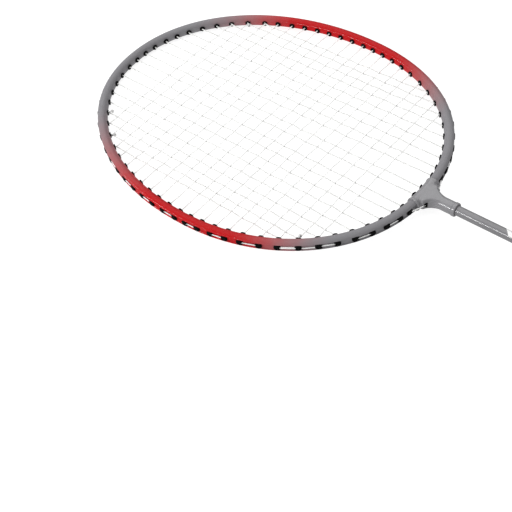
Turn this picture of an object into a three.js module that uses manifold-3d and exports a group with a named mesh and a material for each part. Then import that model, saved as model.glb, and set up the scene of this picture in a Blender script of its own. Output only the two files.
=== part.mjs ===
// Badminton racket with a T-joint: a bent tube hoop, a steel shaft, a wooden handle and two strings.
// Millimetres. +Y runs from the butt to the tip, the string bed lies in the plane Z = 0, and the origin is
// the centre of the flat butt face. Pieces of the head are drawn about the head's centre, its widest line.

import * as THREE from 'three';
import { mergeVertices } from 'three/addons/utils/BufferGeometryUtils.js';
import Module from 'manifold-3d';

const wasm = await Module();
wasm.setup();

// ---------------------------------------------------------------- driving dimensions
const OVERALL_LENGTH = 660;
const CLEARANCE = 0.3; // air kept between two pieces that touch on the real racket

// Hoop: two half superellipses that meet at the widest line
const TUBE_R = 3.65;
const HALF_WIDTH = 98.85; // centreline, so the head is 205 mm across outside
const TIP_HALF = 130.35;
const THROAT_HALF = 118.35;
const TIP_POWER = 2.055;
const THROAT_POWER = 2.11;
const HEAD_CENTRE_Y = OVERALL_LENGTH - TIP_HALF - TUBE_R;
const TUBE_END_X = 1; // the two tube ends stop this far from the middle of the T-joint

// String groove along the outside of the hoop
const GROOVE_FLOOR = 2.65; // distance from the tube's centreline
const GROOVE_HALF_WIDTH = 1.75;
const LIP_HEIGHT = 3.1;
const LIP_HALF_WIDTH = 2;
const INNER_FACE = 3.2; // distance from the centreline to the inner face, where the string pattern is measured

// Stringing pattern: mains each side of the middle, crosses from the throat up
const MAIN_X = [4.4, 13.4, 23.0, 31.7, 40.2, 48.9, 57.2, 64.8, 72.2, 78.7];
const CROSS_Y = [
  -87.6, -78.9, -70.2, -59.2, -48.6, -39.2, -30.0, -20.8, -12.0, -3.4,
  6.4, 16.2, 25.8, 35.3, 45.2, 54.8, 65.0, 74.7, 85.2, 95.2,
];
const SHARED = 3; // the outermost mains share their holes with the first and last crosses
const THROAT_HOLE_SHIFT = [0, 2.4]; // the first mains spread at the throat, to clear the T-joint
const STRING_R = 0.35;
const LAYER_Z = 0.42; // mains lie this far above the middle plane, and crosses as far below
const STRING_SIDES = 6;

// Grommets: distances are along the hole, outward from the tube's centreline
const GROMMET_SIDES = 6;
const HOLE_R = 1.6;
const BARREL_R = 1.42;
const BORE_R = 0.95;
const HEAD_R = 1.88;
const HEAD_THICKNESS = 0.42;
const BARREL_END = -4.3;
const HEAD_LIFT = 0.05; // air under the head
const STRING_LIFT = 0.42; // from a head's top, or a barrel's end, to the string's middle
const BRIDGE_THICKNESS = 0.3;
const BRIDGE_WIDTH = 1.6;

// T-joint
const ARM_R = 4.35;
const ARM_BORE_R = 3.92;
const ARM_X = 9.6;
const STEM_R = 4.15;
const STEM_END_Y = -139.3;
const WEB_HALF_THICKNESS = 3.9;
const FAIRING_R = 7;
const JOINT_HOLE_X = 4.6;
const JOINT_HOLE_SPLAY = THREE.MathUtils.degToRad(12);
const POCKET_FLOOR = 5.6; // counterbores for the grommets beside the stem
const POCKET_R = 2.15;
const JOINT_BARREL_END = -5.3;
const SOCKET_TOP_Y = -125.5;
const SOCKET_R = 3.3;

// Shaft and collar
const SHAFT_R = 3.1;
const SHAFT_WALL = 0.5;
const COLLAR_R = 4.4;
const COLLAR_LENGTH = 2.6;
const ROUND = 24; // sides on a turned piece

// Handle, from the butt up; an octagon's radius is to its corners
const OCTAGON = 8;
const HANDLE_FLATTEN = 0.9; // height of the handle's octagon over its width
const CAP_LENGTH = 6.2;
const CAP_FLOOR = 3.2;
const CAP_R = 16;
const CORE_BUTT_R = 13.9;
const CORE_R = 11.9;
const FLARE_END_Y = 34;
const CORE_TOP_Y = 160;
const WRAP_THICKNESS = 1.7;
const WRAP_TOP_Y = 166;
const SHAFT_BOTTOM_Y = 125;
const CONE_NECK_R = 9.7; // inside the top of the grip
const CONE_BASE_R = 11.8;
const CONE_TIP_R = 4.7;
const CONE_TIP_Y = 207;
const SPIGOT_R = 7.5;
const SPIGOT_LENGTH = 14;
const TAPE_LENGTH = 9;
const TAPE_THICKNESS = 0.5;

// ---------------------------------------------------------------- materials
const material = (color, roughness, metalness) =>
  new THREE.MeshStandardMaterial({ color, roughness, metalness });
const hoopPaint = material(0xd01a22, 0.25, 0.3);
const greyPaint = material(0x8d8c92, 0.3, 0.4);
const collarPaint = material(0x9b9a98, 0.35, 0.5);
const blackNylon = material(0x151515, 0.5, 0);
const stringNylon = material(0xf2f2ee, 0.3, 0);
const blackPlastic = material(0x202124, 0.4, 0);
const beech = material(0xc79a63, 0.6, 0);
const gripFoam = material(0x26272a, 0.85, 0);
const tapeVinyl = material(0x8a1418, 0.4, 0);

// ---------------------------------------------------------------- solids
function toSolid(geometry) {
  const bare = geometry.clone();
  bare.deleteAttribute('normal');
  bare.deleteAttribute('uv');
  const welded = mergeVertices(bare, 1e-4);
  return new wasm.Manifold(new wasm.Mesh({
    numProp: 3,
    vertProperties: new Float32Array(welded.attributes.position.array),
    triVerts: new Uint32Array(welded.index.array),
  }));
}

function toGeometry(solid) {
  const mesh = solid.getMesh();
  const geometry = new THREE.BufferGeometry();
  geometry.setAttribute('position', new THREE.BufferAttribute(mesh.vertProperties, 3));
  geometry.setIndex(new THREE.BufferAttribute(mesh.triVerts, 1));
  geometry.computeVertexNormals();
  return geometry;
}

function cut(body, cutters) {
  const solid = cutters.reduce((left, cutter) => left.subtract(toSolid(cutter)), toSolid(body));
  return toGeometry(solid);
}

function join(bodies) {
  const solids = bodies.map(toSolid);
  return toGeometry(solids.reduce((all, next) => all.add(next)));
}

function named(name, geometry, paint) {
  const mesh = new THREE.Mesh(geometry, paint);
  mesh.name = name;
  return mesh;
}

// A turned ring or plug about +Y, from [radius, y] corners; a ring's corners close on themselves.
function turned(corners, sides = ROUND) {
  const points = corners.map(([r, y]) => new THREE.Vector2(r, y));
  return new THREE.LatheGeometry(points, sides);
}

function ring(inner, outer, low, high, sides = ROUND) {
  return turned([[inner, low], [outer, low], [outer, high], [inner, high], [inner, low]], sides);
}

function rod(radius, low, high, sides = ROUND) {
  return new THREE.CylinderGeometry(radius, radius, high - low, sides).translate(0, (low + high) / 2, 0);
}

// ---------------------------------------------------------------- sweeps along a bent line
class BentLine extends THREE.Curve {
  constructor(points) {
    super();
    this.points = points;
  }

  getPoint(t) {
    return this.points[Math.round(t * (this.points.length - 1))].clone();
  }

  getPointAt(t) {
    return this.getPoint(t);
  }

  // The direction halfway between the two stretches that meet at a point
  getTangentAt(t) {
    const last = this.points.length - 1;
    const i = Math.round(t * last);
    const into = new THREE.Vector3();
    const outOf = new THREE.Vector3();
    if (i > 0) into.subVectors(this.points[i], this.points[i - 1]).normalize();
    if (i < last) outOf.subVectors(this.points[i + 1], this.points[i]).normalize();
    return into.add(outOf).normalize();
  }
}

// On a line in the plane Z = 0 a section's x runs down and its y runs to the left of the line's direction.
function sweep(points, section) {
  const extrudePath = new BentLine(points);
  return new THREE.ExtrudeGeometry(section, { steps: points.length - 1, extrudePath });
}

function circle(radius, sides) {
  const corners = Array.from({ length: sides }, (_, i) => {
    const angle = (i / sides) * 2 * Math.PI;
    return new THREE.Vector2(radius * Math.cos(angle), radius * Math.sin(angle));
  });
  return new THREE.Shape(corners);
}

// A section symmetric about the string plane, from [outward, half height] corners on one side of it.
// The hoop's line runs counter-clockwise, so outward is the section's -y.
function symmetricSection(corners) {
  const lower = corners.map(([out, half]) => new THREE.Vector2(half, -out));
  const upper = corners.map(([out, half]) => new THREE.Vector2(-half, -out)).reverse();
  return [...lower, ...upper];
}

// ---------------------------------------------------------------- the hoop's centreline
function hoopPoint(angle) {
  const c = Math.cos(angle);
  const s = Math.sin(angle);
  const power = s > 0 ? TIP_POWER : THROAT_POWER;
  const half = s > 0 ? TIP_HALF : THROAT_HALF;
  const x = Math.sign(c) * HALF_WIDTH * Math.abs(c) ** (2 / power);
  const y = Math.sign(s) * half * Math.abs(s) ** (2 / power);
  return new THREE.Vector3(x, y, 0);
}

function outwardAt(angle) {
  const step = 1e-3;
  const along = hoopPoint(angle + step).sub(hoopPoint(angle - step)).normalize();
  return new THREE.Vector3(along.y, -along.x, 0);
}

// Where a string meets the inner face of the hoop
function mouth(angle) {
  return hoopPoint(angle).addScaledVector(outwardAt(angle), -INNER_FACE);
}

// The angle in [low, high] at which a rising measure of the hoop passes a value
function solve(measure, value, low, high) {
  const middle = (low + high) / 2;
  if (high - low < 1e-9) return middle;
  return measure(middle) < value ? solve(measure, value, middle, high) : solve(measure, value, low, middle);
}

const THROAT = -Math.PI / 2;
const SIDE = 0;
const TIP = Math.PI / 2;

const throatAngle = (x) => solve((a) => mouth(a).x, x, THROAT, SIDE);
const tipAngle = (x) => solve((a) => -mouth(a).x, -x, SIDE, TIP);
const sideAngle = (y) => solve((a) => mouth(a).y, y, THROAT, TIP);

// ---------------------------------------------------------------- holes of the right half, throat to tip
const sideCrosses = CROSS_Y.slice(SHARED, CROSS_Y.length - SHARED);
const holeAngles = [
  ...MAIN_X.map((x, i) => throatAngle(x + (THROAT_HOLE_SHIFT[i] ?? 0))),
  ...sideCrosses.map(sideAngle),
  ...MAIN_X.toReversed().map(tipAngle),
];
const HOLES = holeAngles.length;

// The tube is straight through each hole and bends halfway between holes.
const tubeEndAngle = solve((a) => hoopPoint(a).x, TUBE_END_X, THROAT, SIDE);
const stationAngles = [tubeEndAngle];
for (let i = 1; i < HOLES; i += 1) {
  stationAngles.push((holeAngles[i - 1] + holeAngles[i]) / 2);
}
stationAngles.push(TIP);
const stations = stationAngles.map(hoopPoint);

const mirror = (v) => new THREE.Vector3(-v.x, v.y, v.z);

function stationOut(i) {
  return i === stations.length - 1 ? new THREE.Vector3(0, 1, 0) : outwardAt(stationAngles[i]);
}

// Each hole has a place on the tube's centreline, an outward direction, and the levels of its grommet.
const rightHoles = holeAngles.map((angle, i) => {
  const along = stations[i + 1].clone().sub(stations[i]).normalize();
  const reach = hoopPoint(angle).sub(stations[i]).dot(along);
  return {
    at: stations[i].clone().addScaledVector(along, reach),
    out: new THREE.Vector3(along.y, -along.x, 0),
    seat: GROOVE_FLOOR + HEAD_LIFT,
    end: BARREL_END,
  };
});
rightHoles[0].at.x = JOINT_HOLE_X;
rightHoles[0].out.set(Math.sin(JOINT_HOLE_SPLAY), -Math.cos(JOINT_HOLE_SPLAY), 0);
rightHoles[0].seat = POCKET_FLOOR + HEAD_LIFT;
rightHoles[0].end = JOINT_BARREL_END;

const leftHoles = rightHoles.map((hole) => ({ ...hole, at: mirror(hole.at), out: mirror(hole.out) }));

const turnTo = (direction) => Math.atan2(-direction.x, direction.y);

// A shape drawn about +Y, turned to lie along a hole; flats face up and down.
function alongHole(geometry, hole) {
  return geometry
    .rotateY(Math.PI / GROMMET_SIDES)
    .rotateZ(turnTo(hole.out))
    .translate(hole.at.x, hole.at.y, hole.at.z);
}

function drill(hole) {
  const reach = 9;
  return alongHole(rod(HOLE_R, -reach, reach, GROMMET_SIDES), hole);
}

// ---------------------------------------------------------------- hoop
function headFrame() {
  const outside = symmetricSection([
    [GROOVE_FLOOR, GROOVE_HALF_WIDTH], [LIP_HEIGHT, LIP_HALF_WIDTH], [1.9, 3.12], [-0.6, TUBE_R],
    [-2.4, 2.8], [-3.4, 1.45],
  ]);
  const inside = symmetricSection([[1.95, 1.6], [0.2, 2.75], [-1.9, 2.1], [-2.6, 1.45]]);
  const line = [...stations, ...stations.slice(0, -1).reverse().map(mirror)];
  const section = new THREE.Shape(outside);
  section.holes.push(new THREE.Path(inside));
  const drills = [...rightHoles, ...leftHoles].map(drill);
  return cut(sweep(line, section), drills);
}

// ---------------------------------------------------------------- T-joint
function webOutline() {
  const right = [[0, -THROAT_HALF], [ARM_X - 0.4, 0.4 - THROAT_HALF]];
  const centreX = STEM_R + FAIRING_R;
  const centreY = -THROAT_HALF - ARM_R - FAIRING_R;
  const start = Math.acos((ARM_X - 0.4 - centreX) / FAIRING_R);
  const steps = 6;
  for (let i = 0; i <= steps; i += 1) {
    const angle = start + ((Math.PI - start) * i) / steps;
    right.push([centreX + FAIRING_R * Math.cos(angle), centreY + FAIRING_R * Math.sin(angle)]);
  }
  right.push([STEM_R, centreY - 2]);
  const left = right.slice(1).reverse().map(([x, y]) => [-x, y]);
  return new THREE.Shape([...right, ...left].map(([x, y]) => new THREE.Vector2(x, y)));
}

function throatJoint() {
  const slope = (stations[1].y - stations[0].y) / (stations[1].x - stations[0].x);
  const armEnd = new THREE.Vector3(ARM_X, stations[0].y + slope * (ARM_X - stations[0].x), 0);
  const boreEnd = stations[0].clone().lerp(armEnd, 1.4);
  const armLine = [mirror(armEnd), mirror(stations[0]), stations[0], armEnd];
  const boreLine = [mirror(boreEnd), mirror(stations[0]), stations[0], boreEnd];
  const bevel = 1;
  const web = new THREE.ExtrudeGeometry(webOutline(), {
    depth: 2 * (WEB_HALF_THICKNESS - bevel),
    bevelThickness: bevel,
    bevelSize: bevel,
    bevelOffset: -bevel,
    bevelSegments: 1,
  }).translate(0, 0, bevel - WEB_HALF_THICKNESS);
  const body = join([
    sweep(armLine, circle(ARM_R, 16)),
    web,
    rod(STEM_R, STEM_END_Y, -THROAT_HALF - ARM_R + 1, ROUND),
  ]);
  const pockets = [rightHoles[0], leftHoles[0]].map((hole) =>
    alongHole(rod(POCKET_R, POCKET_FLOOR, 3 * POCKET_FLOOR, 12), hole));
  return cut(body, [
    sweep(boreLine, circle(ARM_BORE_R, 16)),
    rod(SOCKET_R, STEM_END_Y - 1, SOCKET_TOP_Y, ROUND),
    drill(rightHoles[0]),
    drill(leftHoles[0]),
    ...pockets,
  ]);
}

// ---------------------------------------------------------------- grommets
function grommet(hole) {
  const top = hole.seat + HEAD_THICKNESS;
  const profile = [
    [BORE_R, hole.end], [BARREL_R, hole.end], [BARREL_R, hole.seat], [HEAD_R, hole.seat], [HEAD_R, top],
    [BORE_R, top], [BORE_R, hole.end],
  ];
  return alongHole(turned(profile, GROMMET_SIDES), hole);
}

const outFrom = (hole, distance) => hole.at.clone().addScaledVector(hole.out, distance);

// Two grommets moulded together by a thin strip in the groove, which bends with the tube between them
function grommetPair(holes, first) {
  const level = GROOVE_FLOOR + HEAD_LIFT + BRIDGE_THICKNESS / 2;
  const side = Math.sign(holes[first].at.x);
  const bend = stations[first + 1].clone().addScaledVector(stationOut(first + 1), level + 0.02);
  bend.x *= side;
  const inset = (BORE_R + HEAD_R) / 2;
  const ends = [holes[first], holes[first + 1]].map((hole) => {
    const start = outFrom(hole, level);
    const toBend = bend.clone().sub(start).normalize();
    return start.addScaledVector(toBend, inset);
  });
  const halfWidth = BRIDGE_WIDTH / 2;
  const halfThickness = BRIDGE_THICKNESS / 2;
  const strip = new THREE.Shape([
    new THREE.Vector2(-halfWidth, -halfThickness), new THREE.Vector2(halfWidth, -halfThickness),
    new THREE.Vector2(halfWidth, halfThickness), new THREE.Vector2(-halfWidth, halfThickness),
  ]);
  return join([
    grommet(holes[first]),
    grommet(holes[first + 1]),
    sweep([ends[0], bend, ends[1]], strip),
  ]);
}

// ---------------------------------------------------------------- strings
const insideOf = (hole) => outFrom(hole, hole.end - STRING_LIFT);
const outsideOf = (hole) => outFrom(hole, hole.seat + HEAD_THICKNESS + STRING_LIFT);

// The middle of a loop in the groove between a hole and the next one towards the tip
function loopMiddle(holes, lower) {
  const level = GROOVE_FLOOR + HEAD_LIFT + HEAD_THICKNESS + STRING_LIFT;
  const point = stations[lower + 1].clone().addScaledVector(stationOut(lower + 1), level);
  point.x *= Math.sign(holes[lower].at.x);
  return point;
}

const throatHole = (main) => main;
const tipHole = (main) => HOLES - 1 - main;
const crossHole = (cross) => MAIN_X.length - SHARED + cross;

// One half of the mains, from the loop at the middle of the tip out to the tie-off
function halfMains(holes) {
  const route = [];
  MAIN_X.forEach((_, main) => {
    const tip = holes[tipHole(main)];
    const throat = holes[throatHole(main)];
    const run = [outsideOf(tip), insideOf(tip), insideOf(throat), outsideOf(throat)];
    const down = main % 2 === 0;
    route.push(...(down ? run : run.reverse()));
    const lastMain = main === MAIN_X.length - 1;
    const loop = down ? throatHole(main) : tipHole(main + 1);
    if (!lastMain && main > 0) route.push(loopMiddle(holes, loop));
  });
  const tail = outsideOf(holes[tipHole(MAIN_X.length - 2)]);
  route.push(loopMiddle(holes, tipHole(MAIN_X.length - 1)));
  route.push(route.at(-1).clone().lerp(tail, 0.5));
  return route;
}

function mainString() {
  const middle = loopMiddle(rightHoles, HOLES - 1);
  const route = [...halfMains(leftHoles).reverse(), middle, ...halfMains(rightHoles)];
  return sweep(route, circle(STRING_R, STRING_SIDES)).translate(0, 0, LAYER_Z);
}

function crossString() {
  const firstLeft = leftHoles[crossHole(0)];
  const lastLeft = leftHoles[crossHole(CROSS_Y.length - 1)];
  const startLoop = loopMiddle(leftHoles, crossHole(0));
  const endLoop = loopMiddle(leftHoles, crossHole(CROSS_Y.length - 1));
  const route = [startLoop.clone().lerp(outsideOf(leftHoles[crossHole(1)]), 0.5), startLoop];
  CROSS_Y.forEach((_, cross) => {
    const left = leftHoles[crossHole(cross)];
    const right = rightHoles[crossHole(cross)];
    const run = [outsideOf(left), insideOf(left), insideOf(right), outsideOf(right)];
    const toRight = cross % 2 === 0;
    route.push(...(toRight ? run : run.reverse()));
    const side = toRight ? rightHoles : leftHoles;
    if (cross < CROSS_Y.length - 1) route.push(loopMiddle(side, crossHole(cross)));
  });
  route.push(endLoop, endLoop.clone().lerp(outsideOf(leftHoles[crossHole(CROSS_Y.length)]), 0.5));
  return sweep(route, circle(STRING_R, STRING_SIDES)).translate(0, 0, -LAYER_Z);
}

// ---------------------------------------------------------------- shaft and collar
const SHAFT_TOP_Y = HEAD_CENTRE_Y + SOCKET_TOP_Y - CLEARANCE;

function stemCollar() {
  const top = STEM_END_Y - CLEARANCE;
  const low = top - COLLAR_LENGTH;
  const chamfer = 0.5;
  return turned([
    [SOCKET_R, low], [COLLAR_R - chamfer, low], [COLLAR_R, low + chamfer], [COLLAR_R, top - chamfer],
    [COLLAR_R - chamfer, top], [SOCKET_R, top], [SOCKET_R, low],
  ]);
}

// ---------------------------------------------------------------- handle
// An octagonal turning, laid with its flats on the sides, top and bottom
function octagonal(corners) {
  return turned(corners, OCTAGON).rotateY(Math.PI / OCTAGON).scale(1, 1, HANDLE_FLATTEN);
}

function handleCore() {
  const low = CAP_FLOOR + CLEARANCE;
  const blank = octagonal([
    [0, low], [CORE_BUTT_R, low], [CORE_BUTT_R, CAP_LENGTH], [CORE_R, FLARE_END_Y], [CORE_R, CORE_TOP_Y],
    [0, CORE_TOP_Y],
  ]);
  const gap = 0.25;
  return cut(blank, [
    rod(SHAFT_R + gap, SHAFT_BOTTOM_Y - CLEARANCE, CORE_TOP_Y + 1),
    rod(SPIGOT_R + gap, CORE_TOP_Y - SPIGOT_LENGTH - CLEARANCE, CORE_TOP_Y + 1),
  ]);
}

function gripWrap() {
  const low = CAP_LENGTH + CLEARANCE;
  const slope = (CORE_R - CORE_BUTT_R) / (FLARE_END_Y - CAP_LENGTH);
  const buttR = CORE_BUTT_R + slope * CLEARANCE + CLEARANCE;
  const shankR = CORE_R + CLEARANCE;
  return octagonal([
    [buttR, low], [buttR + WRAP_THICKNESS, low], [shankR + WRAP_THICKNESS, FLARE_END_Y],
    [shankR + WRAP_THICKNESS, WRAP_TOP_Y], [shankR, WRAP_TOP_Y], [shankR, FLARE_END_Y], [buttR, low],
  ]);
}

function buttCap() {
  const chamfer = 1.4;
  return octagonal([
    [0, 0], [CAP_R - chamfer, 0], [CAP_R, chamfer], [CAP_R, CAP_LENGTH], [CORE_BUTT_R + CLEARANCE, CAP_LENGTH],
    [CORE_BUTT_R + CLEARANCE, CAP_FLOOR], [0, CAP_FLOOR],
  ]);
}

function handleCone() {
  const bore = SHAFT_R + 0.25;
  const low = CORE_TOP_Y - SPIGOT_LENGTH;
  const neck = CORE_TOP_Y + CLEARANCE;
  const base = WRAP_TOP_Y + CLEARANCE;
  return turned([
    [bore, low], [SPIGOT_R, low], [SPIGOT_R, neck], [CONE_NECK_R, neck], [CONE_NECK_R, base],
    [CONE_BASE_R, base], [CONE_BASE_R, base + 3], [10.2, base + 13], [7.4, base + 23],
    [CONE_TIP_R, CONE_TIP_Y - 2], [CONE_TIP_R - 0.7, CONE_TIP_Y], [bore, CONE_TIP_Y], [bore, low],
  ]);
}

function finishingTape() {
  const inner = CORE_R + CLEARANCE + WRAP_THICKNESS + CLEARANCE;
  const outer = inner + TAPE_THICKNESS;
  const low = WRAP_TOP_Y - TAPE_LENGTH;
  return octagonal([[inner, low], [outer, low], [outer, WRAP_TOP_Y], [inner, WRAP_TOP_Y], [inner, low]]);
}

// ---------------------------------------------------------------- assembly
const head = new THREE.Group();
head.position.y = HEAD_CENTRE_Y;
head.add(
  named('head_frame', headFrame(), hoopPaint),
  named('throat_joint', throatJoint(), greyPaint),
  named('stem_collar', stemCollar(), collarPaint),
  named('main_string', mainString(), stringNylon),
  named('cross_string', crossString(), stringNylon),
);

const SINGLES = 2; // the two holes next to the stem on each side have a grommet each
for (const [side, holes] of [['left', leftHoles], ['right', rightHoles]]) {
  head.add(named(`stem_grommet_${side}`, grommet(holes[0]), blackNylon));
  head.add(named(`throat_grommet_${side}`, grommet(holes[1]), blackNylon));
  for (let first = SINGLES; first < HOLES; first += 2) {
    const number = String((first - SINGLES) / 2 + 1).padStart(2, '0');
    head.add(named(`grommet_pair_${side}_${number}`, grommetPair(holes, first), blackNylon));
  }
}

const handle = new THREE.Group();
handle.add(
  named('handle_core', handleCore(), beech),
  named('grip_wrap', gripWrap(), gripFoam),
  named('grip_finishing_tape', finishingTape(), tapeVinyl),
  named('butt_cap', buttCap(), blackPlastic),
  named('handle_cone', handleCone(), blackPlastic),
);

const racket = new THREE.Group();
const shaft = named('shaft', ring(SHAFT_R - SHAFT_WALL, SHAFT_R, SHAFT_BOTTOM_Y, SHAFT_TOP_Y), greyPaint);
racket.add(handle, shaft, head);

export default racket;
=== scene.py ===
"""Badminton racket: the looks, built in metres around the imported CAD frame."""
import math

import bpy
from mathutils import Matrix, Vector

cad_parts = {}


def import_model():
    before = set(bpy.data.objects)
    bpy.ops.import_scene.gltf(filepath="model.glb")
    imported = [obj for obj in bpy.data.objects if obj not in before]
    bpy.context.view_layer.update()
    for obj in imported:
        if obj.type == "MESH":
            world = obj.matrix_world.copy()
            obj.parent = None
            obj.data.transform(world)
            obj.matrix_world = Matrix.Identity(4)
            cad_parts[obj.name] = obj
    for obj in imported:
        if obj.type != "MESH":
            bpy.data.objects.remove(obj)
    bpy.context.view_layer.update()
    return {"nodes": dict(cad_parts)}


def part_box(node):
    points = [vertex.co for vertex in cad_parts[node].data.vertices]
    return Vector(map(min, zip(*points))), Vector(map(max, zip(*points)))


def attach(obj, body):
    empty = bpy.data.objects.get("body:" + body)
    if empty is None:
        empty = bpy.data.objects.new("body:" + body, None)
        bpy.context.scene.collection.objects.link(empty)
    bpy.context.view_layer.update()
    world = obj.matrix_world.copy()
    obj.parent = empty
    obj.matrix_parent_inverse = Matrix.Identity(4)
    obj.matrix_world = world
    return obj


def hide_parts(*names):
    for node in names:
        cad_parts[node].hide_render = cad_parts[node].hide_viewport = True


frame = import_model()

MM = 0.001
UP = Vector((0, 0, 1))

# ---------------------------------------------------------------- dimensions as in the CAD source (mm)
TUBE_R = 3.65
HALF_WIDTH = 98.85
TIP_HALF = 130.35
THROAT_HALF = 118.35
TIP_POWER = 2.055
THROAT_POWER = 2.11
TUBE_END_X = 1.0
MAIN_X = [4.4, 13.4, 23.0, 31.7, 40.2, 48.9, 57.2, 64.8, 72.2, 78.7]
CROSS_Y = [
    -87.6, -78.9, -70.2, -59.2, -48.6, -39.2, -30.0, -20.8, -12.0, -3.4,
    6.4, 16.2, 25.8, 35.3, 45.2, 54.8, 65.0, 74.7, 85.2, 95.2,
]
SHARED = 3
THROAT_HOLE_SHIFT = [0, 2.4]
BARREL_END = -4.3
INNER_FACE = 3.2

# ---------------------------------------------------------------- dimensions of the looks alone (mm)
STRING_R = 0.42
GROOVE_FLOOR = 2.1  # from the tube's centreline to the floor of the channel along its outside

tube_low, tube_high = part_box("head_frame")
HEAD_Y = tube_high[1] / MM - TIP_HALF - TUBE_R  # the head's centre, where its widest line is


# ---------------------------------------------------------------- small tools
def smoothstep(low, high, value):
    t = min(max((value - low) / (high - low), 0.0), 1.0)
    return t * t * (3 - 2 * t)


def world(point):
    """A head-centred point in mm, in the frame's metres."""
    return Vector((point.x, point.y + HEAD_Y, point.z)) * MM


def piece(name, verts, faces, material, nodes=(), smooth=True):
    mesh = bpy.data.meshes.new(name)
    mesh.from_pydata([tuple(v) for v in verts], [], faces)
    mesh.validate()
    mesh.polygons.foreach_set("use_smooth", [smooth] * len(mesh.polygons))
    mesh.materials.append(material)
    obj = bpy.data.objects.new(name, mesh)
    bpy.context.scene.collection.objects.link(obj)
    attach(obj, "root")
    if nodes:
        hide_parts(*nodes)
    return obj


def apply_modifiers(obj):
    depsgraph = bpy.context.evaluated_depsgraph_get()
    mesh = bpy.data.meshes.new_from_object(obj.evaluated_get(depsgraph))
    obj.modifiers.clear()
    obj.data = mesh


def grid_faces(rings, around, closed_ring=True):
    faces = []
    for i in range(rings - 1):
        for j in range(around if closed_ring else around - 1):
            k = (j + 1) % around
            faces.append((i * around + j, i * around + k, (i + 1) * around + k, (i + 1) * around + j))
    return faces


def sweep(points, section):
    """A closed tube of (outward, up) section corners along a line near the string plane."""
    verts = []
    last = len(points) - 1
    for i, point in enumerate(points):
        along = (points[min(i + 1, last)] - points[max(i - 1, 0)]).normalized()
        side = along.cross(UP).normalized()
        lift = side.cross(along)
        verts += [point + side * u + lift * v for u, v in section]
    around = len(section)
    faces = grid_faces(len(points), around)
    faces.append(tuple(range(around)))
    faces.append(tuple(last * around + j for j in reversed(range(around))))
    return verts, faces


def lathe(profile, segments, place):
    """A closed ring of (radius, height) corners, turned about +Y and placed by a function."""
    verts = []
    for i in range(segments):
        angle = 2 * math.pi * i / segments
        verts += [place(Vector((r * math.sin(angle), y, r * math.cos(angle)))) for r, y in profile]
    around = len(profile)
    faces = []
    for i in range(segments):
        n = (i + 1) % segments
        for j in range(around):
            k = (j + 1) % around
            faces.append((i * around + j, n * around + j, n * around + k, i * around + k))
    return verts, faces


def merged(*parts):
    verts, faces = [], []
    for part_verts, part_faces in parts:
        start = len(verts)
        verts += part_verts
        faces += [tuple(start + i for i in face) for face in part_faces]
    return verts, faces


def circle(radius, sides):
    return [(radius * math.cos(2 * math.pi * i / sides), radius * math.sin(2 * math.pi * i / sides))
            for i in range(sides)]


def fillet(radius, centre, start, end, steps):
    """Corner points of a rounded edge, angles in degrees."""
    points = []
    for i in range(steps + 1):
        angle = math.radians(start + (end - start) * i / steps)
        points.append((centre[0] + radius * math.cos(angle), centre[1] + radius * math.sin(angle)))
    return points


# ---------------------------------------------------------------- materials
class Nodes:
    """A short way to write a node tree."""

    def __init__(self, name):
        self.material = bpy.data.materials.new(name)
        self.material.use_nodes = True
        self.tree = self.material.node_tree
        self.shader = self.tree.nodes["Principled BSDF"]
        self.place = self.add("ShaderNodeTexCoord").outputs["Object"]

    def add(self, kind, **settings):
        node = self.tree.nodes.new(kind)
        for key, value in settings.items():
            setattr(node, key, value)
        return node

    def link(self, source, target):
        self.tree.links.new(source, target)

    def set(self, **values):
        """Sets sockets of the shader, by name with _ for each space."""
        for key, value in values.items():
            self.shader.inputs[key.replace("_", " ")].default_value = value

    def noise(self, scale, detail=3.0, roughness=0.5, stretch=(1, 1, 1)):
        mapping = self.add("ShaderNodeMapping")
        mapping.inputs["Scale"].default_value = stretch
        self.link(self.place, mapping.inputs["Vector"])
        node = self.add("ShaderNodeTexNoise")
        node.inputs["Scale"].default_value = scale
        node.inputs["Detail"].default_value = detail
        node.inputs["Roughness"].default_value = roughness
        self.link(mapping.outputs["Vector"], node.inputs["Vector"])
        return node.outputs["Fac"]

    def ramp(self, source, stops):
        node = self.add("ShaderNodeValToRGB")
        while len(node.color_ramp.elements) < len(stops):
            node.color_ramp.elements.new(0.5)
        for element, (position, color) in zip(node.color_ramp.elements, stops):
            element.position = position
            element.color = (*color, 1)
        self.link(source, node.inputs["Fac"])
        return node.outputs["Color"]

    def math(self, operation, a, b=None, clamp=False):
        node = self.add("ShaderNodeMath", operation=operation, use_clamp=clamp)
        for socket, value in zip(node.inputs, (a, b)):
            if value is None:
                continue
            if isinstance(value, (int, float)):
                socket.default_value = value
            else:
                self.link(value, socket)
        return node.outputs[0]

    def mix(self, factor, a, b):
        node = self.add("ShaderNodeMix", data_type="RGBA")
        self.link(factor, node.inputs[0])
        for socket, value in ((node.inputs[6], a), (node.inputs[7], b)):
            if isinstance(value, tuple):
                socket.default_value = (*value, 1)
            else:
                self.link(value, socket)
        return node.outputs[2]

    def bump(self, height, distance, strength=1.0):
        node = self.add("ShaderNodeBump")
        node.inputs["Strength"].default_value = strength
        node.inputs["Distance"].default_value = distance
        self.link(height, node.inputs["Height"])
        self.link(node.outputs["Normal"], self.shader.inputs["Normal"])

    def roughness(self, source, low, high):
        node = self.add("ShaderNodeMapRange")
        node.inputs["To Min"].default_value = low
        node.inputs["To Max"].default_value = high
        self.link(source, node.inputs["Value"])
        self.link(node.outputs["Result"], self.shader.inputs["Roughness"])

    def color(self, source):
        self.link(source, self.shader.inputs["Base Color"])


RED = (0.48, 0.002, 0.004)
GREY = (0.228, 0.224, 0.236)
LIGHT_GREY = (0.248, 0.245, 0.257)
SHAFT_GREY = (0.168, 0.167, 0.173)
RED_COAT, GREY_COAT = 0.14, 0.8


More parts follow.
